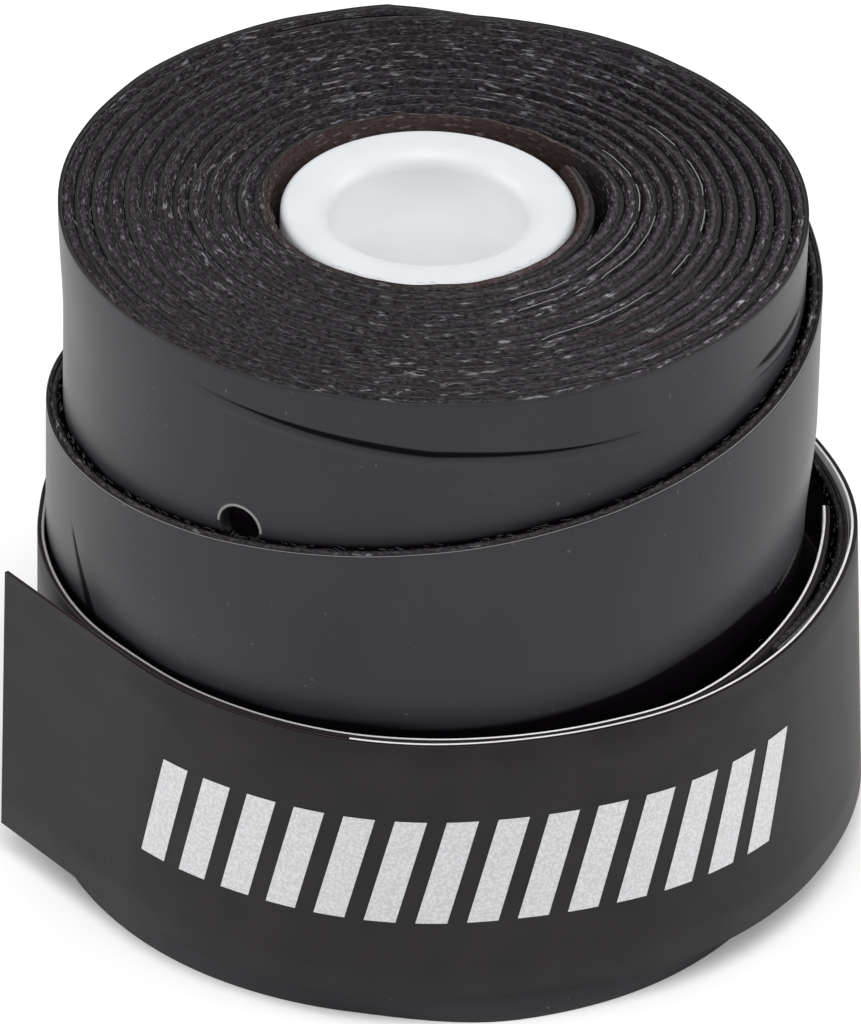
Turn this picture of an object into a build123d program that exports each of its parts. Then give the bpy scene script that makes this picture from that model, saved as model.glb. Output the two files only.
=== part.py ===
from build123d import *
import os
from math import acos, atan2, cos, degrees, radians, sin

# A roll of racket grip tape, standing on one end.  Millimetres, +Z up.
# The origin is on the axis of the core, at the level of the surface that the roll stands on.
# Angles in the plan are degrees from +X towards +Y.  Seen from above, the tape runs clockwise
# from the core outwards, so every path below goes from a high angle to a low one.

# Grip strip: a felt base with a soft coat, wound together with a clear release film
STRIP_WIDTH = 27.0
FELT_THICKNESS = 0.42
SKIN_THICKNESS = 0.12
FILM_THICKNESS = 0.04
TURN_GAP = 0.065                     # air between one turn and the next
FULL_HEIGHT_HALF_TURNS = 25          # then the diagonal cut begins, part of the way round the next
TAPER_ANGLE = 98.0                   # where the diagonal cut begins, at the back
TURN_DRIFT = 0.027                   # each turn's centre lies this much further to the right
EDGE_DROP_PER_TURN = 11.3            # how fast the diagonal cut at the outer end comes down
TIP_DROP_PER_TURN = 1.5              # the cut is almost level along the last stretch
TIP_STRETCH_ANGLE = 25.0             # where that last stretch begins
TIP_ANGLE = -32.0                    # where the strip ends, under the finishing tape
CUTTER_OVERRUN = 2.0                 # degrees past each end of an arc
CUTTER_WIDTH = 2.4
CUTTER_HEIGHT = 30.0

# Core: a white plastic tube
CORE_RADIUS = 5.55
CORE_BORE_RADIUS = 3.7
CORE_LENGTH = 26.8
CORE_CLEARANCE = 0.05
LIP_INNER_ROUND = 0.75
LIP_OUTER_ROUND = 0.4

# Finishing tape: a narrow printed tape, sticky on the inside, with a white liner
TAPE_THICKNESS = 0.13
ADHESIVE_THICKNESS = 0.03
LINER_THICKNESS = 0.10
TAPE_LOW_EDGE = 1.4
TAPE_HIGH_EDGE = 12.9
LAYER_CLEARANCE = 0.03
RIGHT_SLACK = 0.3                    # makes the inner turn stand off the strip on the right
TAPE_INNER_END_ANGLE = 5.0           # where the tape starts, under the strip's last pass
LINER_END_ANGLE = -101.0             # the last stretch of tape has no liner, so that it sticks
TAB_ANGLE = -138.0                   # where the free end leaves the roll
TAB_LENGTH = 7.3
TAB_GAP = 0.03

# Print: a band of slanted bars on the front of the finishing tape
PRINT_THICKNESS = 0.02
PRINT_LOW_EDGE = 4.9
PRINT_HIGH_EDGE = 9.5
PRINT_ANGLES = (-34.0, -132.0)
PRINT_BARS = 14
BAR_WIDTH = 1.2
BAR_SLANT = 1.1                      # how far a bar leans over its height

# Starter patch: a piece of double-sided tape and its liner, let into the felt at the tip
STARTER_LAYER = 0.07
STARTER_LOW_EDGE = 1.5
STARTER_HIGH_EDGE = 9.5
STARTER_ANGLES = (45.0, -28.0)

# Winding layout.  The turns are half circles that meet on the X axis, and every half turn's
# centre lies on that axis, so that one runs smoothly into the next.
STRIP_THICKNESS = FELT_THICKNESS + SKIN_THICKNESS + FILM_THICKNESS
PITCH = STRIP_THICKNESS + TURN_GAP
FIRST_RADIUS = CORE_RADIUS + CORE_CLEARANCE
STRIP_LAYERS = {
    "grip_felt": (0, FELT_THICKNESS),
    "grip_skin": (FELT_THICKNESS, FELT_THICKNESS + SKIN_THICKNESS),
    "release_film": (FELT_THICKNESS + SKIN_THICKNESS, STRIP_THICKNESS),
}

# The last pass hangs loose on the right: it leaves the tight winding on an easing arc at the
# front and then follows a circle of its own.
LOOSE_CENTRE = Vector(0.95, 0.15)
LOOSE_RADIUS = 14.84


def polar(angle, radius=1.0):
    """A plan vector of this length, in this direction."""
    return Vector(radius * cos(radians(angle)), radius * sin(radians(angle)))


def easing_arc(inner_centre, inner_radius, outer_centre, outer_radius):
    """The arc that joins a circle to a larger one around it, smoothly at both of its ends."""
    offset = inner_centre - outer_centre
    spread = (outer_radius - inner_radius) / 2
    half_angle = degrees(acos(offset.length / (2 * spread)))
    middle = degrees(atan2(offset.Y, offset.X))
    start = middle + half_angle
    end = middle - half_angle
    return (inner_centre - polar(start, spread), inner_radius + spread, start, end)


def half_turns(count):
    """Arcs from the core outwards: centre, radius of the felt's inner face, start and end angles."""
    path = []
    centre = 0.0
    radius = FIRST_RADIUS
    for half in range(count):
        start = 0 if half % 2 == 0 else 180
        path.append((Vector(centre, 0), radius, start, start - 180))
        growth = (PITCH + TURN_DRIFT) / 2 if half % 2 == 0 else (PITCH - TURN_DRIFT) / 2
        centre += growth if half % 2 == 0 else -growth
        radius += growth
    return path


def strip_paths():
    """The full-height winding, and the arcs of the tapered end with the rate at which each drops."""
    *full, back, front = half_turns(FULL_HEIGHT_HALF_TURNS + 2)
    full.append((*back[:3], TAPER_ANGLE))
    back = (*back[:2], TAPER_ANGLE, back[3])
    easing = easing_arc(front[0], front[1], LOOSE_CENTRE, LOOSE_RADIUS)
    front = (*front[:3], easing[2])
    loose = (LOOSE_CENTRE, LOOSE_RADIUS, easing[3] + 360, TIP_STRETCH_ANGLE)
    tip = (LOOSE_CENTRE, LOOSE_RADIUS, TIP_STRETCH_ANGLE, TIP_ANGLE)
    tapered = [(arc, EDGE_DROP_PER_TURN) for arc in (back, front, easing, loose)]
    return full, tapered + [(tip, TIP_DROP_PER_TURN)]


def band(path, inner, outer, low, high):
    """A wall that follows a path, between two offsets from it and between two heights."""
    outside = [CenterArc(c, r + outer, start, end - start) for c, r, start, end in path]
    inside = [CenterArc(c, r + inner, start, end - start) for c, r, start, end in path]
    caps = [Line(inside[0] @ 0, outside[0] @ 0), Line(inside[-1] @ 1, outside[-1] @ 1)]
    face = make_face(outside + inside + caps)
    return Pos(0, 0, low) * extrude(face, high - low)


def diagonal_cutter(arc, start_height, drop_per_degree):
    """What the diagonal cut takes off one arc: everything above an edge that comes down steadily."""
    centre, radius, start, end = arc
    low_angle = end - CUTTER_OVERRUN
    sweep_angle = start - end + 2 * CUTTER_OVERRUN
    low_height = start_height - (start - low_angle) * drop_per_degree
    helix = Helix(360 * drop_per_degree, sweep_angle * drop_per_degree, radius)
    path = Pos(centre.X, centre.Y, low_height) * Rot(0, 0, low_angle) * helix
    outwards = polar(low_angle)
    corner = Plane(path @ 0, x_dir=outwards, z_dir=outwards.cross(Vector(0, 0, 1)))
    profile = corner * Pos(0, CUTTER_HEIGHT / 2) * Rectangle(CUTTER_WIDTH, CUTTER_HEIGHT)
    return sweep(profile, path, is_frenet=True)


def strip_layer(inner, outer):
    """One layer of the strip: the full winding and its diagonally cut outer end, as one solid."""
    full, tapered = strip_paths()
    layer = band(full, inner, outer, 0, STRIP_WIDTH)
    height = STRIP_WIDTH
    for arc, drop_per_turn in tapered:
        drop_per_degree = drop_per_turn / 360
        piece = band([arc], inner, outer, 0, STRIP_WIDTH)
        layer += piece - diagonal_cutter(arc, height, drop_per_degree)
        height -= (arc[2] - arc[3]) * drop_per_degree
    return layer


def finishing_tape_path():
    """Arcs of the tape's liner side, from its inner end outwards to where the free end leaves."""
    tapered = strip_paths()[1]
    front, easing = tapered[1][0], tapered[2][0]
    on_strip = STRIP_THICKNESS + LAYER_CLEARANCE
    slack_centre = front[0] - polar(front[3], RIGHT_SLACK)
    return [
        (slack_centre, front[1] + on_strip + RIGHT_SLACK, TAPE_INNER_END_ANGLE, front[3]),
        (easing[0], easing[1] + on_strip, easing[2], easing[3]),
        (LOOSE_CENTRE, LOOSE_RADIUS + on_strip, easing[3] + 360, TAB_ANGLE),
    ]


def make_core():
    """The tube, with a well rounded lip inside its top end and softened rims outside."""
    tube = Cylinder(CORE_RADIUS, CORE_LENGTH, align=(Align.CENTER, Align.CENTER, Align.MIN))
    tube -= Cylinder(CORE_BORE_RADIUS, CORE_LENGTH, align=(Align.CENTER, Align.CENTER, Align.MIN))
    circles = tube.edges().filter_by(GeomType.CIRCLE)
    inner_circles = circles.filter_by(lambda edge: edge.radius < CORE_RADIUS - LIP_INNER_ROUND)
    tube = fillet(inner_circles.sort_by(Axis.Z)[-1], LIP_INNER_ROUND)
    circles = tube.edges().filter_by(GeomType.CIRCLE)
    rims = circles.filter_by(lambda edge: edge.radius > CORE_RADIUS - LIP_OUTER_ROUND / 2)
    return fillet(rims, LIP_OUTER_ROUND)


def make_starter_patch(felt):
    """The double-sided patch, its liner, and the felt with the pocket that they lie in."""
    path = [(LOOSE_CENTRE, LOOSE_RADIUS, *STARTER_ANGLES)]
    liner = band(path, 0, STARTER_LAYER, STARTER_LOW_EDGE, STARTER_HIGH_EDGE)
    adhesive = band(path, STARTER_LAYER, 2 * STARTER_LAYER, STARTER_LOW_EDGE, STARTER_HIGH_EDGE)
    pocket = band(path, -STARTER_LAYER, 2 * STARTER_LAYER, STARTER_LOW_EDGE, STARTER_HIGH_EDGE)
    return {"starter_adhesive": adhesive, "starter_liner": liner, "grip_felt": felt - pocket}


def make_print(path):
    """Slanted bars of ink on the outer face of the tape's last turn."""
    centre, radius = path[-1][:2]
    outer = LINER_THICKNESS + ADHESIVE_THICKNESS + TAPE_THICKNESS
    first, last = PRINT_ANGLES
    height = PRINT_HIGH_EDGE - PRINT_LOW_EDGE
    ink = band([(centre, radius, first, last)], outer, outer + PRINT_THICKNESS, PRINT_LOW_EDGE, PRINT_HIGH_EDGE)
    corners = [(0, 0), (BAR_WIDTH, 0), (BAR_WIDTH + BAR_SLANT, height), (BAR_SLANT, height)]
    bars = []
    for bar in range(PRINT_BARS):
        angle = last + (first - last) * (bar + 0.5) / PRINT_BARS
        face = Plane(centre + Vector(0, 0, PRINT_LOW_EDGE), x_dir=polar(angle + 90), z_dir=polar(angle))
        outline = Pos(-(BAR_WIDTH + BAR_SLANT) / 2, 0) * make_face(Polyline(*corners, close=True))
        bars.append(ink & extrude(face * outline, radius + 1))
    return Compound(children=[solid for bar in bars for solid in bar.solids()])


def flat_layer(root, inner, outer):
    """A straight upright layer of the free end, between two distances inwards from its outer face."""
    outwards = polar(TAB_ANGLE)
    along = polar(TAB_ANGLE - 90)
    middle = root + along * ((TAB_GAP + TAB_LENGTH) / 2) - outwards * ((inner + outer) / 2)
    layer = Box(TAB_LENGTH - TAB_GAP, outer - inner, TAPE_HIGH_EDGE - TAPE_LOW_EDGE)
    return Pos(middle.X, middle.Y, (TAPE_LOW_EDGE + TAPE_HIGH_EDGE) / 2) * Rot(0, 0, TAB_ANGLE - 90) * layer


def make_finishing_tape():
    """The wound tape with its adhesive, liner and print, and the free end with its adhesive."""
    path = finishing_tape_path()
    adhesive_side = LINER_THICKNESS + ADHESIVE_THICKNESS
    outer = adhesive_side + TAPE_THICKNESS
    edges = (TAPE_LOW_EDGE, TAPE_HIGH_EDGE)
    centre, radius, start, end = path[-1]
    liner_path = path[:-1] + [(centre, radius, start, LINER_END_ANGLE)]
    root = centre + polar(end, radius + outer)
    return {
        "finishing_tape": band(path, adhesive_side, outer, *edges),
        "finishing_tape_adhesive": band(path, LINER_THICKNESS, adhesive_side, *edges),
        "finishing_tape_liner": band(liner_path, 0, LINER_THICKNESS, *edges),
        "finishing_tape_print": make_print(path),
        "free_end_tape": flat_layer(root, 0, TAPE_THICKNESS),
        "free_end_adhesive": flat_layer(root, TAPE_THICKNESS, TAPE_THICKNESS + ADHESIVE_THICKNESS),
    }


nodes = {"core_tube": make_core()}
for name, offsets in STRIP_LAYERS.items():
    nodes[name] = strip_layer(*offsets)
nodes.update(make_starter_patch(nodes["grip_felt"]))
nodes.update(make_finishing_tape())
os.makedirs("parts", exist_ok=True)
for name, shape in nodes.items():
    export_step(shape, f"parts/{name}.step")
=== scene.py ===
from math import atan2, cos, degrees, hypot, pi, radians, sin
from random import Random

import bpy
from mathutils import Matrix, Vector, noise


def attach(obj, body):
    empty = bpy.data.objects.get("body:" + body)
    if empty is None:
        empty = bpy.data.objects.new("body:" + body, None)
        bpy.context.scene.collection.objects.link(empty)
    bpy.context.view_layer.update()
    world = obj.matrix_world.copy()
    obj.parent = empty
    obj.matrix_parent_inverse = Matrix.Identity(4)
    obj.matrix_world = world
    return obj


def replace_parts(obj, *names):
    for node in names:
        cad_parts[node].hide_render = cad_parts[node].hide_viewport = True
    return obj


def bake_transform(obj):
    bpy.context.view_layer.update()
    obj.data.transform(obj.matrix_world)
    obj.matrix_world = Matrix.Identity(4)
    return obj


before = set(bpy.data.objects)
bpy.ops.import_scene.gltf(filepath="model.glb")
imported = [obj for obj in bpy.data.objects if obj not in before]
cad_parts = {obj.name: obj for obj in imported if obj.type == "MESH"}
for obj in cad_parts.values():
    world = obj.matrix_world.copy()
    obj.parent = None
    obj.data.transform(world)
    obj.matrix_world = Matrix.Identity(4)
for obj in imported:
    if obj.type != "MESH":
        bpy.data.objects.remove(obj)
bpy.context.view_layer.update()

# A roll of racket grip tape.  Lengths are millimetres until a mesh is made, azimuths are degrees
# from the front (-Y) towards the right (+X), and the tape is wound towards lower azimuths.
MM = 0.001
WINDING_CENTRE = Vector((0.35, 0.0))    # the outer turns sit a little off the core's axis

# Grip strip
STRIP_WIDTH = 27.0
FELT_THICKNESS = 0.42
SKIN_THICKNESS = 0.12
FILM_THICKNESS = 0.04
STRIP_THICKNESS = FELT_THICKNESS + SKIN_THICKNESS + FILM_THICKNESS
PITCH = 0.645
TAPER_AZIMUTH = 188.0                    # where the diagonal cut begins; winding angle 0
TAPER_RADIUS = 14.37
INNER_END = -4610.0                      # winding angle of the strip's end on the core
OUTER_TURNS = -380.0                     # from here outwards the strip can be seen from the side
TIP = 490.0                              # winding angle of the strip's tapered end
EDGE_DROP = 0.0324                       # fall of the diagonal edge, mm per degree
TIP_EDGE = 12.7                          # height of the edge along the last stretch
INNER_STEP = 2.0                         # winding angle between two stations, in the hidden turns
OUTER_STEP = 1.2                         # and in the turns that show
RAISED_TURNS = (2.3, 3.4, 6.2)           # turns whose film stands up beside the felt, at the right

# Folds in the film, and a punched hole in the outermost full-height turn
RELIEF_DEPTH = 0.035
RIDGE_HEIGHT = 0.06
WEDGE_AZIMUTH = -62.0
HOLE_AZIMUTH = -29.8
HOLE_HEIGHT = 20.30
HOLE_RADIUS = 0.83
HOLE_DEPTH = FELT_THICKNESS

# Starter patch, near the tip
STARTER_LOW = 1.5
STARTER_HIGH = 9.5
STARTER_SPAN = (413.0, 486.0)            # winding angles
STARTER_LAYER = 0.05

# Core
CORE_RADIUS = 5.55
BORE_RADIUS = 3.7
CORE_LENGTH = 26.8
LIP_ROUND = 0.75
RIM_ROUND = 0.3
CORE_SIDES = 128

# Finishing tape
TAPE_THICKNESS = 0.13
ADHESIVE_THICKNESS = 0.03
LINER_THICKNESS = 0.10
TAPE_STACK = TAPE_THICKNESS + ADHESIVE_THICKNESS + LINER_THICKNESS
TAPE_LOW = 1.4
TAPE_HIGH = 12.9
TAPE_AZIMUTH = 95.0                      # where the tape begins, under the strip's last pass
LINER_END = 466.0                        # winding angle of the liner's outer end
TAB_START = 503.0                        # winding angle where the free end leaves the roll
TAB_END = Vector((-16.03, -4.55))        # the free end, from the winding centre
TAPE_STEP = 1.5
TAPE_ROWS = [k / 8 for k in range(9)]
# Winding angle and outer radius of the tape, set after points on the photograph:
# close to the strip at the left, loose at the right
TAPE_SHAPE = [
    (0, 15.30), (12, 15.14), (28, 15.14), (37, 15.24), (46, 15.42), (57, 15.53), (68, 15.32),
    (82, 15.20), (95, 15.20), (107, 15.20), (122, 15.10), (132, 15.05), (143, 14.97), (156, 15.10),
    (176, 15.05), (187, 14.92), (230, 14.98), (275, 15.27), (320, 15.66), (345, 16.08), (356, 16.27),
    (364, 16.31), (374, 16.16), (384, 16.02), (396, 15.98), (408, 15.92), (419, 15.80), (430, 15.58),
    (442, 15.47), (455, 15.52), (466, 15.50), (482, 15.36), (492, 15.27), (503, 15.15),
]

# Print on the tape
PRINT_THICKNESS = 0.015
PRINT_LOW = 4.9
PRINT_HIGH = 9.5
PRINT_BARS = 14
BAR_WIDTH = 1.2
BAR_SLANT = 1.1
PRINT_AZIMUTHS = (-43.0, 57.0)
PRINT_RADIUS = 15.6
PRINT_COLUMNS = 5
PRINT_ROWS = 8


# ---------------------------------------------------------------- small helpers

def smooth(t):
    """0 below 0, 1 above 1, and a soft step between them."""
    t = min(max(t, 0.0), 1.0)
    return t * t * (3 - 2 * t)


def hump(t):
    """1 at 0, falling softly to 0 at -1 and 1."""
    return smooth(1 - abs(t))


def outwards(azimuth):
    return Vector((sin(radians(azimuth)), -cos(radians(azimuth))))


def curve_through(points, x):
    """The value at x of a smooth curve through the points, which are sorted by x."""
    i = 1
    while i < len(points) - 1 and points[i][0] < x:
        i += 1
    (x1, y1), (x2, y2) = points[i - 1], points[i]
    x0, y0 = points[max(i - 2, 0)]
    x3, y3 = points[min(i + 1, len(points) - 1)]
    slope1 = (y2 - y0) / (x2 - x0)
    slope2 = (y3 - y1) / (x3 - x1)
    t = (x - x1) / (x2 - x1)
    span = x2 - x1
    return (
        (2 * t ** 3 - 3 * t ** 2 + 1) * y1 + (t ** 3 - 2 * t ** 2 + t) * span * slope1
        + (3 * t ** 2 - 2 * t ** 3) * y2 + (t ** 3 - t ** 2) * span * slope2
    )


def steps(start, end, step):
    """Evenly spaced values from start to end, at most a step apart."""
    count = max(1, int((end - start) / step + 0.999))
    return [start + (end - start) * i / count for i in range(count + 1)]


def add_object(name, points, faces, material, body):
    mesh = bpy.data.meshes.new(name)
    mesh.from_pydata([Vector(p) * MM for p in points], [], faces)
    mesh.materials.append(material)
    mesh.polygons.foreach_set("use_smooth", [True] * len(mesh.polygons))
    mesh.update()
    obj = bpy.data.objects.new(name, mesh)
    bpy.context.scene.collection.objects.link(obj)
    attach(obj, body)
    return obj


# ---------------------------------------------------------------- the shape of the winding

def azimuth_at(u):
    """Azimuth of the strip at winding angle u, not brought back into one turn."""
    return TAPER_AZIMUTH - u


def strip_point(u):
    """A point on the strip's outer face in plan, at winding angle u."""
    azimuth = azimuth_at(u)
    radius = TAPER_RADIUS + PITCH * u / 360
    inside = smooth((u - INNER_END) / (0 - INNER_END))
    centre = WINDING_CENTRE * inside
    # the last pass hangs loose at the right
    last_pass = azimuth + 360
    if u > 330:
        radius += 0.50 * smooth((160 - last_pass) / 60)
        radius += 0.31 * hump((last_pass - 94) / 30)
    # a lens-shaped gap beside the first turn, taken up by the turns outside it
    turn = (u - INNER_END) / 360
    if 0.5 < turn < 9:
        right = (azimuth - 100) % 360
        right = min(right, 360 - right)
        radius += 0.50 * hump(right / 50) * smooth((turn - 0.5) / 0.5) * (1 - smooth((turn - 1.4) / 8))
    radius += 0.05 * smooth(2 - turn)
    radius += 0.03 * noise.noise(Vector((u / 33, 0.0, 3.0)))
    return centre + outwards(azimuth) * radius


def edge_height(u):
    """Height of the strip's upper edge."""
    ragged = 0.05 * noise.noise(Vector((u / 9, 1.5, 0.0))) + 0.10 * noise.noise(Vector((u / 60, 7.5, 0.0)))
    if u < 0:
        return STRIP_WIDTH + ragged
    height = STRIP_WIDTH - EDGE_DROP * u
    blend = smooth((height - TIP_EDGE + 0.5) / 1.0)
    return TIP_EDGE + (height - TIP_EDGE) * blend + 0.4 * ragged


def low_edge(u):
    """Height of the strip's lower edge: level, but for the trimmed corner at the tip."""
    return 1.05 * smooth((u - 455) / 25)


def spread_foot(u, z):
    """How far the outermost turn spreads at its foot, at the front and the right."""
    azimuth = azimuth_at(u)
    if not 90 < u < 230:
        return 0.0
    return 0.54 * smooth((azimuth + 10) / 25) * smooth((90 - azimuth) / 30) * smooth((3.2 - z) / 3.2)


def tape_point(w):
    """A point on the finishing tape's outer face in plan; past the last turn it runs straight."""
    radius = curve_through(TAPE_SHAPE, min(w, TAB_START))
    point = WINDING_CENTRE + outwards(TAPE_AZIMUTH - min(w, TAB_START)) * radius
    if w > TAB_START:
        point += (WINDING_CENTRE + TAB_END - point) * (w - TAB_START)
    return point


def pinch(plan, z):
    """The outer turns are narrower at the left and the right, and at the front, under the tape."""
    from_centre = plan - WINDING_CENTRE
    azimuth = degrees(atan2(from_centre.x, -from_centre.y))
    inwards = 0.20 * hump((azimuth + 85) / 60) * smooth((STRIP_WIDTH - z) / 5)
    inwards += 0.40 * smooth((80 - abs(azimuth)) / 30) * hump((z - 10.5) / 6)
    tight = 1 - smooth((from_centre.length - 15.05) / 0.3)
    inwards += 0.42 * tight * hump((azimuth - 72) / 44) * smooth((18.5 - z) / 5.5)
    return plan - from_centre.normalized() * (inwards * smooth((from_centre.length - 9) / 4))


# ---------------------------------------------------------------- ribbons

def normals_of(line):
    """Outward normals of a plan line that runs clockwise seen from above."""
    normals = []
    for i in range(len(line)):
        before = line[max(i - 1, 0)]
        after = line[min(i + 1, len(line) - 1)]
        along = (after - before).normalized()
        normals.append(Vector((-along.y, along.x)))
    return normals


def section_size(row_count):
    """Number of points in a ribbon's section with this many rows: two faces and four corners."""
    return 2 * row_count + 4


def ribbon(name, line, low, high, inner, outer, material, body, rows=(0, 0.5, 1), move=None, soft=0.12):
    """An upright band along a plan line, between depths inner and outer below the line's face.

    low and high give the heights of its edges at each station, rows the heights of its points as
    shares of the band's height, and move, where given, takes a point in plan, the line's normal
    there, the station's number and the height, and returns where the point goes.
    """
    normals = normals_of(line)
    chamfer = soft * abs(inner - outer)
    points, faces, unrolled = [], [], []
    loop = section_size(len(rows))
    length = 0.0
    for i, (point, normal) in enumerate(zip(line, normals)):
        bottom, top = low(i), high(i)
        length += (point - line[max(i - 1, 0)]).length
        levels = [bottom + chamfer + (top - bottom - 2 * chamfer) * share for share in rows]
        section = [(inner, z) for z in reversed(levels)]
        section += [(inner - chamfer, bottom), (outer + chamfer, bottom)]
        section += [(outer, z) for z in levels]
        section += [(outer + chamfer, top), (inner - chamfer, top)]
        for depth, z in section:
            plan = point - normal * depth
            if move:
                plan = move(plan, normal, i, z)
            points.append((plan.x, plan.y, z))
            unrolled.append((length, depth, z))
    for i in range(len(line) - 1):
        for k in range(loop):
            a = i * loop + k
            b = i * loop + (k + 1) % loop
            faces.append((a, b, b + loop, a + loop))
    last = (len(line) - 1) * loop
    faces.append(tuple(range(loop - 1, -1, -1)))
    faces.append(tuple(range(last, last + loop)))
    obj = add_object(name, points, faces, material, body)
    # sharp edges round the two ends, so that they don't shade into the long faces
    for end in obj.data.polygons[-2:]:
        for corner in end.loop_indices:
            obj.data.edges[obj.data.loops[corner].edge_index].use_edge_sharp = True
    attribute = obj.data.attributes.new("along_strip", "FLOAT_VECTOR", "POINT")
    attribute.data.foreach_set("vector", [value * MM for place in unrolled for value in place])
    return obj


# ---------------------------------------------------------------- materials

def new_material(name, colour, roughness, **inputs):
    material = bpy.data.materials.new(name)
    material.use_nodes = True
    shader = material.node_tree.nodes["Principled BSDF"]
    shader.inputs["Base Color"].default_value = (*colour, 1)
    shader.inputs["Roughness"].default_value = roughness
    for key, value in inputs.items():
        shader.inputs[key.replace("_", " ")].default_value = value
    return material


def add_noise(material, scale, detail=4.0, stretch=(1, 1, 1), along_strip=False):
    """A noise texture in object space, or in lengths along the strip.

    scale is in features per millimetre.
    """
    nodes, links = material.node_tree.nodes, material.node_tree.links
    if along_strip:
        where = nodes.new("ShaderNodeAttribute")
        where.attribute_name = "along_strip"
    else:
        where = nodes.new("ShaderNodeTexCoord")
    mapping = nodes.new("ShaderNodeMapping")
    mapping.inputs["Scale"].default_value = stretch
    texture = nodes.new("ShaderNodeTexNoise")
    texture.inputs["Scale"].default_value = scale / MM
    texture.inputs["Detail"].default_value = detail
    links.new(where.outputs["Vector" if along_strip else "Object"], mapping.inputs["Vector"])
    links.new(mapping.outputs["Vector"], texture.inputs["Vector"])
    return texture.outputs["Fac"]


def add_ramp(material, factor, stops):
    ramp = material.node_tree.nodes.new("ShaderNodeValToRGB")
    elements = ramp.color_ramp.elements
    for i, (position, colour) in enumerate(stops):
        element = elements[i] if i < 2 else elements.new(position)
        element.position = position
        element.color = (*colour, 1)
    material.node_tree.links.new(factor, ramp.inputs["Fac"])
    return ramp.outputs["Color"]


def mix_colours(material, factor, first, second):
    mix = material.node_tree.nodes.new("ShaderNodeMix")
    mix.data_type = "RGBA"
    links = material.node_tree.links
    links.new(factor, mix.inputs["Factor"])
    for socket, value in ((mix.inputs["A"], first), (mix.inputs["B"], second)):
        if isinstance(value, tuple):
            socket.default_value = (*value, 1)
        else:
            links.new(value, socket)
    return mix.outputs["Result"]


def set_input(material, name, value):
    shader = material.node_tree.nodes["Principled BSDF"]
    material.node_tree.links.new(value, shader.inputs[name])


def add_bump(material, height, distance, strength=1.0):
    bump = material.node_tree.nodes.new("ShaderNodeBump")
    bump.inputs["Distance"].default_value = distance * MM
    bump.inputs["Strength"].default_value = strength
    material.node_tree.links.new(height, bump.inputs["Height"])
    set_input(material, "Normal", bump.outputs["Normal"])


def grey(value):
    return (value, value, value)


def own_value(material, name):
    """A number that the piece stores at each of its points."""
    where = material.node_tree.nodes.new("ShaderNodeAttribute")
    where.attribute_name = name
    return where.outputs["Fac"]


def lit_share(material, dark, light):
    """0 in the shade of a neighbour, or down in a fold, and 1 in the open.

    The shade is painted on by place, and doesn't follow the lights.
    """
    return add_ramp(material, own_value(material, "lit"), [(dark, grey(0.0)), (light, grey(1.0))])


def felt_material():
    """Dark needled felt, its fibres drawn out along the strip."""
    material = new_material("felt", (0.03, 0.029, 0.03), 0.95, Specular_IOR_Level=0.2)
    clumps = add_noise(material, 5.5, 6)
    base = add_ramp(material, clumps, [(0.32, (0.014, 0.011, 0.014)), (0.70, (0.070, 0.060, 0.069))])
    brown = add_noise(material, 0.30, 2)
    tint = add_ramp(material, brown, [(0.54, grey(0.0)), (0.76, grey(0.6))])
    base = mix_colours(material, tint, base, (0.038, 0.020, 0.020))
    streaks = add_noise(material, 7.0, 4, (0.24, 1, 1), along_strip=True)
    patches = add_noise(material, 0.16, 2)
    flecks = add_ramp(material, streaks, [(0.58, grey(0.0)), (0.68, grey(1.0))])
    where = add_ramp(material, patches, [(0.42, grey(0.15)), (0.60, grey(1.0))])
    flecks = mix_colours(material, where, grey(0.0), flecks)
    colour = mix_colours(material, flecks, base, (0.36, 0.35, 0.37))
    colour = mix_colours(material, own_value(material, "glue"), colour, (0.11, 0.065, 0.052))
    # painted light and shade: the felt's colour and sheen are scaled by the lit value, dark in the inner
    # corners, paler on the upper edge at the right
    lit = lit_share(material, 0.0, 1.0)
    set_input(material, "Base Color", mix_colours(material, lit, grey(0.0), colour))
    set_input(material, "Specular IOR Level", mix_colours(material, lit, grey(0.0), grey(0.25)))
    add_bump(material, clumps, 0.08)
    return material


def film_material():
    """Glossy clear film over the black coat, with faint clouding and a few specks of dust."""
    material = new_material("clear film over the grip", (0.024, 0.023, 0.026), 0.36)
    cloud = add_noise(material, 0.12, 5, (1, 1, 0.6))
    base = add_ramp(material, cloud, [(0.3, (0.014, 0.0132, 0.016)), (0.7, (0.022, 0.0208, 0.0245))])
    dust = add_ramp(material, add_noise(material, 4.5, 0), [(0.85, grey(0.0)), (0.87, grey(1.0))])
    base = mix_colours(material, dust, base, (0.07, 0.07, 0.07))
    # painted highlight: the upper half of the hole's rim is painted pale grey
    rim = own_value(material, "hole_rim_highlight")
    highlight_share = add_ramp(material, rim, [(0.03, grey(0.0)), (0.07, grey(1.0))])
    base = mix_colours(material, highlight_share, base, (0.20, 0.20, 0.20))
    # painted shade: the film is darkened and its sheen dulled where the next turn or the tape covers it,
    # down in the folds and in the hole
    lit = lit_share(material, 0.0, 0.17)
    set_input(material, "Base Color", mix_colours(material, lit, (0.003, 0.002, 0.003), base))
    set_input(material, "Specular IOR Level", mix_colours(material, lit, grey(0.02), grey(0.22)))
    set_input(material, "Roughness", add_ramp(material, cloud, [(0.3, grey(0.33)), (0.7, grey(0.42))]))
    grain = add_noise(material, 5.0, 2)
    add_bump(material, grain, 0.004)
    return material


def tape_material():
    material = new_material("finishing tape", (0.026, 0.024, 0.026), 0.5, Specular_IOR_Level=0.2)
    cloud = add_noise(material, 0.5, 4)
    set_input(material, "Base Color", add_ramp(
        material, cloud, [(0.3, (0.008, 0.0066, 0.008)), (0.7, (0.013, 0.011, 0.0125))]))
    grain = add_noise(material, 6.0, 3)
    add_bump(material, grain, 0.006)
    return material


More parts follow.
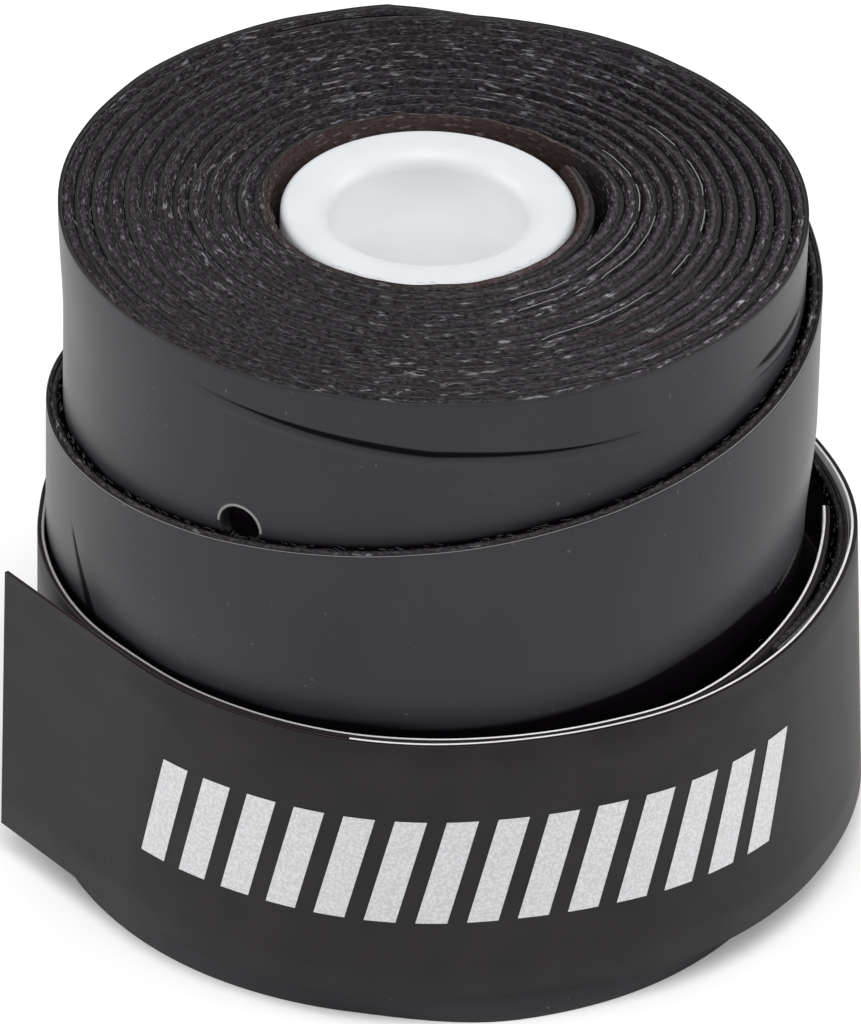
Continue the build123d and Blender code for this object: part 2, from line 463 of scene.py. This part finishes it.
def ink_material():
    material = new_material("silver ink", (0.50, 0.50, 0.51), 0.5)
    grain = add_noise(material, 9.0, 2)
    set_input(material, "Base Color", add_ramp(
        material, grain, [(0.40, (0.42, 0.42, 0.43)), (0.62, (0.53, 0.53, 0.54))]))
    add_bump(material, grain, 0.006)
    return material


def liner_material():
    """White release paper; its edge is in the shade of the tape on the left."""
    material = new_material("white liner", (0.78, 0.78, 0.80), 0.6)
    fibres = add_noise(material, 3.0, 4)
    paper = add_ramp(material, fibres, [(0.3, (0.70, 0.70, 0.72)), (0.7, (0.80, 0.80, 0.82))])
    lit = lit_share(material, 0.0, 1.0)
    set_input(material, "Base Color", mix_colours(material, lit, grey(0.10), paper))
    return material


# painted shade: the starter patch's release paper is coloured near black, standing in for the shade
# between the film and the tape
def shaded_paper_material():
    material = new_material("release paper, painted shade", (0.02, 0.02, 0.02), 0.7)
    fibres = add_noise(material, 3.0, 4)
    set_input(material, "Base Color", add_ramp(
        material, fibres, [(0.3, (0.014, 0.0135, 0.014)), (0.7, (0.026, 0.025, 0.026))]))
    return material


def plastic_material():
    material = new_material("white core plastic", (0.80, 0.81, 0.83), 0.42)
    cloud = add_noise(material, 0.4, 3)
    # painted light: the bore's colour is far paler than the lip's
    lip = add_ramp(material, cloud, [(0.3, (0.565, 0.58, 0.60)), (0.7, (0.595, 0.61, 0.63))])
    bore_painted_light = add_ramp(material, cloud, [(0.3, (0.93, 0.935, 0.945)), (0.7, (0.95, 0.955, 0.965))])
    set_input(material, "Base Color", mix_colours(material, lit_share(material, 0.0, 1.0), lip, bore_painted_light))
    add_bump(material, cloud, 0.02)
    return material


FELT = felt_material()
FILM = film_material()
TAPE = tape_material()
INK = ink_material()
PLASTIC = plastic_material()
SKIN = new_material("polyurethane coat", (0.010, 0.009, 0.010), 0.8)
# painted glint: a pale grey that stands in for light caught on the film's cut rim
RIM_GLINT = new_material("painted glint on the film rim", (0.20, 0.195, 0.20), 0.4)
ADHESIVE = new_material("dark adhesive", (0.055, 0.022, 0.018), 0.45)
LINER = liner_material()
SHADED_PAPER = shaded_paper_material()
FIBRE = new_material("loose fibres", (0.085, 0.083, 0.088), 0.8)


# ---------------------------------------------------------------- core

def make_core():
    """The tube: its section is turned round the axis, with a wide soft lip inside the top end."""
    lip, rim = LIP_ROUND, RIM_ROUND
    section = []
    for k in range(9):
        a = radians(90 * k / 8)
        section.append((BORE_RADIUS + lip * (1 - cos(a)), CORE_LENGTH - lip * (1 - sin(a))))
    for k in range(7):
        a = radians(90 * k / 6)
        section.append((CORE_RADIUS - rim * (1 - sin(a)), CORE_LENGTH - rim * (1 - cos(a))))
    for k in range(7):
        a = radians(90 * k / 6)
        section.append((CORE_RADIUS - rim * (1 - cos(a)), rim * (1 - sin(a))))
    for k in range(7):
        a = radians(90 * k / 6)
        section.append((BORE_RADIUS + rim * (1 - sin(a)), rim * (1 - cos(a))))
    for k in range(1, 12):
        section.append((BORE_RADIUS, rim + (CORE_LENGTH - lip - rim) * k / 12))
    points, faces = [], []
    for i in range(CORE_SIDES):
        a = 2 * pi * i / CORE_SIDES
        points += [(r * cos(a), r * sin(a), z) for r, z in section]
    n = len(section)
    for i in range(CORE_SIDES):
        for k in range(n):
            a = i * n + k
            b = i * n + (k + 1) % n
            c = ((i + 1) % CORE_SIDES) * n + k
            d = ((i + 1) % CORE_SIDES) * n + (k + 1) % n
            faces.append((a, c, d, b))
    core = add_object("Core_tube", points, faces, PLASTIC, "core")
    # painted light: deep in the bore the plastic is painted much paler than at the lip and outside
    store_values(core, "lit", [
        smooth((CORE_LENGTH - z) / 1.6 - 0.15) if hypot(x, y) < CORE_RADIUS - 1 else 0.0
        for x, y, z in points])
    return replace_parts(core, "core_tube")


# ---------------------------------------------------------------- grip strip

def fold(azimuth, z):
    """The fold in the film under the upper rim, and the short one near the right side.

    Two shares: how far in its dark groove a point is, and how far on the ridge below the groove.
    """
    below = 2.15 + (0.85 * azimuth / 34 if azimuth < 0 else 0.3 * smooth(azimuth / 30))
    middle = STRIP_WIDTH - below
    long_one = min(1.0, 1.6 * hump((azimuth + 2) / 44))
    short_one = min(1.0, 1.6 * hump((azimuth - 68) / 13))
    width = 0.05 + 0.055 * long_one * hump((azimuth + 6) / 30) + 0.06 * short_one
    groove = (long_one + short_one) * hump((z - middle) / (2 * width))
    return groove, (long_one + short_one) * hump((z - middle + 0.33) / 0.26)


def wedge(azimuth, z):
    """Share of the depth of the wedge-shaped fold at the left, just above the finishing tape."""
    down = (16.4 - z) / 3.5
    if not 0 < down < 1.6:
        return 0.0
    middle = -67 + 6 * down
    return smooth(down * 3) * hump((azimuth - middle) / (0.3 + 1.8 * down))


def hole_distance(u, z):
    """Distance over the strip's surface from the middle of the punched hole."""
    across = radians(azimuth_at(u + 360) - HOLE_AZIMUTH) * TAPER_RADIUS
    return hypot(across, z - HOLE_HEIGHT)


def groove_share(u, z):
    """How far down in a fold of the film a point is, from 0 to 1."""
    azimuth = azimuth_at(u)
    if u < 0:
        return fold(azimuth - 360, z)[0]
    return wedge(azimuth, z) if u < 300 else 0.0


def film_relief(u, z):
    """How far the outer turns stand in or out of their smooth shape, in millimetres."""
    relief = 0.010 * noise.noise(Vector((u / 14, z / 5, 0.0)))
    relief -= RELIEF_DEPTH * groove_share(u, z)
    if u < 0:
        relief += RIDGE_HEIGHT * fold(azimuth_at(u) - 360, z)[1]
        distance = hole_distance(u, z)
        relief -= HOLE_DEPTH * (1 - smooth((distance - HOLE_RADIUS + 0.06) / 0.06))
        relief += 0.05 * hump((distance - HOLE_RADIUS - 0.08) / 0.12)
    return relief


def outer_levels():
    """Shares of the strip's height, close together where there are folds and the hole."""
    heights = steps(0, 19.2, 0.6) + steps(19.3, 21.3, 0.07) + steps(21.5, 23.9, 0.3)
    heights += steps(24.0, 26.2, 0.06) + steps(26.4, STRIP_WIDTH, 0.15)
    return [z / STRIP_WIDTH for z in heights]


def hole_levels():
    """Shares of the strip's height for the felt and its coat, close together at the hole."""
    heights = [0, 1.5, 3, 5, 8, 11, 14, 17, 19.2] + steps(19.3, 21.3, 0.1) + [22.0, 24, 26, STRIP_WIDTH]
    return [z / STRIP_WIDTH for z in heights]


def raised(u):
    """1 where the film's edge stands up beside the felt among the inner turns, at the right."""
    turn = (u - INNER_END) / 360
    right = (azimuth_at(u) % 360 - 75) / 65
    strength = sum(hump((turn - middle) / 0.6) for middle in RAISED_TURNS)
    return strength * smooth(3 - 3 * abs(right)) * smooth(0.9 + 3 * noise.noise(Vector((u / 9, 4.0, 2.0))))


def outer_stations():
    """Winding angles of the outer turns' stations, close together at the hole and at the wedge fold."""
    hole = azimuth_at(HOLE_AZIMUTH) - 360
    wedge_fold = azimuth_at(WEDGE_AZIMUTH)
    stations = steps(OUTER_TURNS, hole - 5, OUTER_STEP)
    stations += steps(hole - 4.4, hole + 4.4, 0.25)
    stations += steps(hole + 5, wedge_fold - 8, OUTER_STEP)
    stations += steps(wedge_fold - 7.6, wedge_fold + 8, 0.35)
    return stations + steps(wedge_fold + 9, TIP, OUTER_STEP)


def make_strip():
    """The felt, its coat and the clear film, wound from the core to the tapered tip."""
    make_turns("inner_turns", steps(INNER_END, OUTER_TURNS, INNER_STEP), False)
    make_turns("outer_turns", outer_stations(), True)


def make_turns(part, stations, outer):
    """One stretch of the strip; the outer turns have folds and the hole."""
    line = [strip_point(u) for u in stations]
    sunk = 0.02 if outer else 0.14
    rows = hole_levels() if outer else (0, 0.5, 0.8, 0.9, 1)
    film_rows = outer_levels() if outer else rows

    def move(plan, normal, i, z):
        if outer:
            plan = plan + normal * (film_relief(stations[i], z) + spread_foot(stations[i], z))
        return pinch(plan, z)

    def film_top(i):
        return edge_height(stations[i]) + 0.04 - 1.5 * sunk * (1 - raised(stations[i]))

    felt_piece = ribbon(
        "Grip_strip_felt_" + part, line, lambda i: 0.03 + low_edge(stations[i]),
        lambda i: edge_height(stations[i]), STRIP_THICKNESS, SKIN_THICKNESS + FILM_THICKNESS,
        FELT, "roll", rows, move, soft=0.33)
    coat_piece = ribbon(
        "Grip_strip_coat_" + part, line, lambda i: 0.02 + low_edge(stations[i]),
        lambda i: edge_height(stations[i]) - sunk, SKIN_THICKNESS + FILM_THICKNESS, FILM_THICKNESS,
        SKIN, "roll", rows, move)
    film_piece = ribbon(
        "Clear_film_" + part, line, lambda i: low_edge(stations[i]), film_top, FILM_THICKNESS, 0.0,
        FILM, "roll", film_rows, move)
    mark_felt(felt_piece, stations, len(rows))
    mark_film(film_piece, stations, len(film_rows), outer)
    paint_film(film_piece, stations, len(film_rows))
    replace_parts(felt_piece, "grip_felt")
    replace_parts(coat_piece, "grip_skin")
    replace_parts(film_piece, "release_film")


def covered_to(u):
    """Height up to which the next turn, or the finishing tape, covers and shades the film."""
    azimuth = azimuth_at(u)
    next_turn = edge_height(u + 360) if u + 360 < TIP else 0.0
    tape = TAPE_HIGH + 1.0 * hump((azimuth - 50) / 42) if u > 0 and abs(azimuth) < 100 else 0.0
    return max(next_turn, tape)


def store_values(piece, name, values):
    """Gives a piece's points one number each, which its material reads."""
    values += [values[0]] * (len(piece.data.vertices) - len(values))
    piece.data.attributes.new(name, "FLOAT", "POINT").data.foreach_set("value", values)


def mark_film(piece, stations, levels, outer):
    """How far each point is above the film's cover or out of a fold, for its painted shade, and how near
    the hole's rim, for the rim's painted highlight.
    """
    loop = section_size(levels)
    lit, rim = [], []
    for index in range(len(stations) * loop):
        u = stations[index // loop]
        z = piece.data.vertices[index].co.z / MM
        light = 1.0
        highlight = -1.0
        if outer:
            # painted shade below the cover, in the folds and in the hole
            light = min(z - covered_to(u), 0.18 - 0.36 * groove_share(u, z))
            if z < TAPE_LOW + 1:
                light = 1.0
            if u < 0:
                distance = hole_distance(u, z)
                light = min(light, distance - HOLE_RADIUS + 0.12)
                # painted highlight on the upper half of the hole's rim
                if z > HOLE_HEIGHT:
                    highlight = 0.10 - abs(distance - HOLE_RADIUS - 0.09)
        lit.append(light)
        rim.append(highlight)
    store_values(piece, "lit", lit)
    store_values(piece, "hole_rim_highlight", rim)


def paint_film(piece, stations, levels):
    """A painted glint: the film's rim is painted pale along the diagonal edge, and where it stands up
    among the turns.
    """
    mesh = piece.data
    mesh.materials.append(RIM_GLINT)
    loop = section_size(levels)
    for i in range(len(stations) - 1):
        u = (stations[i] + stations[i + 1]) / 2
        if u > 5 or raised(u) > 0.45:
            for k in range(2 * levels + 1, loop):
                mesh.polygons[i * loop + k].material_index = 1


def mark_felt(piece, stations, levels):
    """Painted light on the felt's upper edge at the right, painted shade at the front and in its inner
    corner, and old glue at the core.
    """
    lit, glue = [], []
    for u in stations:
        azimuth = (azimuth_at(u) + 180) % 360 - 180
        # painted light on the upper edge at the right, painted shade at the front and in the inner corner
        painted_light_at_right = smooth((100 - abs(azimuth - 80)) / 50 + 0.8 * noise.noise(Vector((u / 70, 9.0, 0.0))))
        top = 0.60 + 0.40 * painted_light_at_right - 0.20 * hump(azimuth / 60)
        corner = top * (0.80 - 0.55 * painted_light_at_right)
        tier = smooth(u / 40)
        top += (0.65 - top) * tier
        corner *= 1 - tier
        below = [0.6] * levels if u > 380 else [corner] * levels
        below[0] = corner
        lit += below + [0.6] * (levels + 2) + [top, 0.6 * corner + 0.1 * top]
        near_core = 0.45 * smooth((INNER_END + 380 - u) / 40)
        glue += [near_core] * levels + [0.0] * (levels + 2) + [0.6 * near_core, near_core]
    store_values(piece, "lit", lit)
    store_values(piece, "glue", glue)


def make_fibres():
    """Loose fibres that stand out of the felt along the strip's upper edge."""
    random = Random(7)
    points, faces = [], []
    for _ in range(9000):
        u = INNER_END + (TIP - INNER_END) * random.random() ** 0.75
        depth = random.uniform(SKIN_THICKNESS, STRIP_THICKNESS + 0.03)
        z = edge_height(u) + random.uniform(-0.04, 0.03)
        root = pinch(strip_point(u) - outwards(azimuth_at(u)) * depth, z)
        heading = radians(-azimuth_at(u) + random.gauss(0, 8))
        along = Vector((-cos(heading), sin(heading), random.uniform(-0.1, 0.25))).normalized()
        side = along.cross(Vector((0, 0, 1))).normalized() * random.uniform(0.004, 0.009)
        length = random.uniform(0.08, 0.34)
        first = len(points)
        for k in range(3):
            middle = Vector((root.x, root.y, z)) + along * (length * k / 2)
            middle.z += 0.02 * (1 if k == 1 else 0)
            points += [tuple(middle - side), tuple(middle + side)]
        faces += [(first, first + 1, first + 3, first + 2), (first + 2, first + 3, first + 5, first + 4)]
    return add_object("Loose_felt_fibres", points, faces, FIBRE, "roll")


def make_starter():
    """The double-sided patch and its paper liner, on the felt side of the strip's tip."""
    stations = steps(*STARTER_SPAN, 1.2)
    line = [strip_point(u) for u in stations]
    low, high = (lambda i: STARTER_LOW), (lambda i: STARTER_HIGH)

    def move(plan, normal, i, z):
        return pinch(plan, z)

    depth = STRIP_THICKNESS - 0.01
    for name, node, material in (
        ("Starter_adhesive", "starter_adhesive", ADHESIVE), ("Starter_liner", "starter_liner", SHADED_PAPER)
    ):
        piece = ribbon(name, line, low, high, depth + STARTER_LAYER, depth, material, "roll",
                       (0, 0.25, 0.5, 0.75, 1), move)
        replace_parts(piece, node)
        depth += STARTER_LAYER


# ---------------------------------------------------------------- finishing tape

def flare(w, z):
    """How far the last turn spreads outwards towards its lower edge."""
    azimuth = TAPE_AZIMUTH - min(w, TAB_START) + 360
    spread = 0.62 * hump((azimuth - 85) / 75) + 0.22 * smooth((-20 - azimuth) / 30)
    return spread * smooth((w - 330) / 30) * (TAPE_HIGH - z) / (TAPE_HIGH - TAPE_LOW)


def mark_liner(piece, stations):
    """Painted shade: the edge of the liner's inner pass is painted greyer towards the left."""
    values = []
    for w in stations:
        azimuth = TAPE_AZIMUTH - w
        share = 0.3 + 0.7 * smooth((azimuth + 40) / 60) if azimuth > -180 else 1.0
        values += [share] * section_size(len(TAPE_ROWS))
    store_values(piece, "lit", values)


def make_tape():
    """The wound tape, its adhesive and liner, and the free end."""
    wound = steps(0, TAB_START, TAPE_STEP)
    line = [tape_point(w) for w in wound]
    low, high = (lambda i: TAPE_LOW), (lambda i: TAPE_HIGH)

    def spread(plan, normal, i, z):
        return plan + normal * flare(wound[i], z)

    def spread_free(plan, normal, i, z):
        return plan + normal * flare(TAB_START, z)

    tape = ribbon("Finishing_tape_wound_part", line, low, high, TAPE_THICKNESS, 0.0, TAPE, "roll",
                  TAPE_ROWS, spread)
    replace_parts(tape, "finishing_tape")
    deep = TAPE_THICKNESS + ADHESIVE_THICKNESS
    glue = ribbon("Finishing_tape_adhesive", line, low, high, deep, TAPE_THICKNESS, ADHESIVE, "roll",
                  TAPE_ROWS, spread)
    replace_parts(glue, "finishing_tape_adhesive")
    lined = [w for w in wound if w <= LINER_END]
    liner = ribbon("Finishing_tape_liner", [tape_point(w) for w in lined], low, high,
                   TAPE_STACK, deep, LINER, "roll", TAPE_ROWS, spread)
    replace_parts(liner, "finishing_tape_liner")
    mark_liner(liner, lined)
    free = [TAB_START + t for t in steps(0, 1, 0.04)]
    tab_line = [tape_point(w) for w in free]
    tab = ribbon("Free_end_of_the_tape", tab_line, low, high, TAPE_THICKNESS, 0.0, TAPE, "roll",
                 TAPE_ROWS, spread_free)
    tab_glue = ribbon("Free_end_adhesive", tab_line, low, high, deep, TAPE_THICKNESS, ADHESIVE, "roll",
                      TAPE_ROWS, spread_free)
    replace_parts(tab, "free_end_tape")
    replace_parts(tab_glue, "free_end_adhesive")
    root, bend = tape_point(TAB_START), tape_point(TAB_START + 0.3)
    for piece in (tab, tab_glue):
        piece.parent = None
        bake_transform(piece)


def length_of(stations, point_at):
    """Length in metres of a strip's line through these stations."""
    line = [point_at(u) for u in stations]
    return sum((b - a).length for a, b in zip(line, line[1:])) * MM


def declare_sheets():
    """The strip and the finishing tape are flexible sheets, wound on the core and on each other; this
    works out their lengths and the strip's areas, and keeps none of them.
    """
    inner = steps(INNER_END, OUTER_TURNS, INNER_STEP)
    outer = steps(OUTER_TURNS, TIP, OUTER_STEP)
    for part, stations in (("inner_turns", inner), ("outer_turns", outer)):
        line = [strip_point(u) for u in stations]
        area = sum((b - a).length * edge_height(u) for a, b, u in zip(line, line[1:], stations)) * MM * MM
        length = length_of(stations, strip_point)
    length_of(steps(0, TAB_START, TAPE_STEP), tape_point)


def make_print():
    """Slanted bars of silver ink across the front of the tape."""
    first = TAPE_AZIMUTH - PRINT_AZIMUTHS[1] + 360
    last = TAPE_AZIMUTH - PRINT_AZIMUTHS[0] + 360
    millimetre = degrees(1 / PRINT_RADIUS)
    points, faces = [], []
    columns, rows = PRINT_COLUMNS, PRINT_ROWS
    for bar in range(PRINT_BARS):
        middle = first + (last - first) * (bar + 0.5) / PRINT_BARS
        start = len(points)
        for row in range(rows + 1):
            up = row / rows
            for column in range(columns + 1):
                across = BAR_WIDTH * (0.5 - column / columns) - BAR_SLANT * (up - 0.5)
                w = middle + across * millimetre
                z = PRINT_LOW + (PRINT_HIGH - PRINT_LOW) * up
                before, point, after = (tape_point(w + t) for t in (-0.5, 0, 0.5))
                normal = Vector((before.y - after.y, after.x - before.x)).normalized()
                point = point + normal * (PRINT_THICKNESS + flare(w, z))
                points.append((point.x, point.y, z))
        wide = columns + 1
        for row in range(rows):
            for column in range(columns):
                a = start + row * wide + column
                faces.append((a, a + 1, a + wide + 1, a + wide))
    bars = add_object("Printed_bars", points, faces, INK, "roll")
    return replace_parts(bars, "finishing_tape_print")


make_core()
make_strip()
make_starter()
make_fibres()
make_tape()
make_print()
declare_sheets()


# ---------------------------------------------------------------- floor, lights, camera (metres)

FLOOR_HALF_WIDTH = 3.0
FLOOR_DROP = 0.00002
SOFTBOX = (0.30, 0.30)
SIDE_POWER = 1.0
TOP_POWER = 1.4


def make_floor():
    """A plain pale floor, a hair below the roll."""
    half = FLOOR_HALF_WIDTH
    mesh = bpy.data.meshes.new("Floor")
    corners = [(-half, -half, 0), (half, -half, 0), (half, half, 0), (-half, half, 0)]
    mesh.from_pydata(corners, [], [(0, 1, 2, 3)])
    mesh.materials.append(new_material("floor", (0.92, 0.92, 0.92), 0.7))
    floor_object = bpy.data.objects.new("Floor", mesh)
    floor_object.location.z = -FLOOR_DROP
    bpy.context.scene.collection.objects.link(floor_object)


def add_light(name, place, size, power, target=(0, 0, 0.012)):
    data = bpy.data.lights.new(name, "AREA")
    data.shape = "RECTANGLE"
    data.size, data.size_y = size
    data.energy = power
    light = bpy.data.objects.new(name, data)
    light.location = place
    light.rotation_euler = (Vector(target) - Vector(place)).to_track_quat("-Z", "Y").to_euler()
    bpy.context.scene.collection.objects.link(light)


def make_world(strength):
    world = bpy.data.worlds.new("Studio")
    world.use_nodes = True
    background = world.node_tree.nodes["Background"]
    background.inputs["Color"].default_value = (1, 1, 1, 1)
    background.inputs["Strength"].default_value = strength
    bpy.context.scene.world = world


def make_camera():
    """The camera at the photograph's angle: from the front, looking down, turned a little."""
    elevation = radians(33.406)
    roll = radians(1.335)
    distance = 400 * MM
    target = Vector((WINDING_CENTRE.x, WINDING_CENTRE.y, 13.5)) * MM
    back = Vector((0, -cos(elevation), sin(elevation)))
    right = Vector((1, 0, 0))
    up = back.cross(right)
    tilted_right = right * cos(roll) + up * sin(roll)
    tilted_up = up * cos(roll) - right * sin(roll)
    data = bpy.data.cameras.new("Camera")
    data.lens = 369.0
    data.sensor_width = 36
    data.shift_x = -0.0003
    data.shift_y = -0.0095
    data.clip_start = 0.01
    data.clip_end = 20
    camera = bpy.data.objects.new("Camera", data)
    matrix = Matrix((tilted_right, tilted_up, back)).transposed().to_4x4()
    matrix.translation = target + back * distance
    camera.matrix_world = matrix
    bpy.context.scene.collection.objects.link(camera)
    bpy.context.scene.camera = camera


make_floor()
make_world(0.6)
add_light("Left softbox", (-0.42, 0.02, 0.16), SOFTBOX, SIDE_POWER)
add_light("Right softbox", (0.42, 0.02, 0.16), SOFTBOX, SIDE_POWER)
add_light("Top softbox", (0.0, -0.22, 0.40), SOFTBOX, TOP_POWER)
make_camera()
bpy.context.scene.view_settings.view_transform = "Standard"
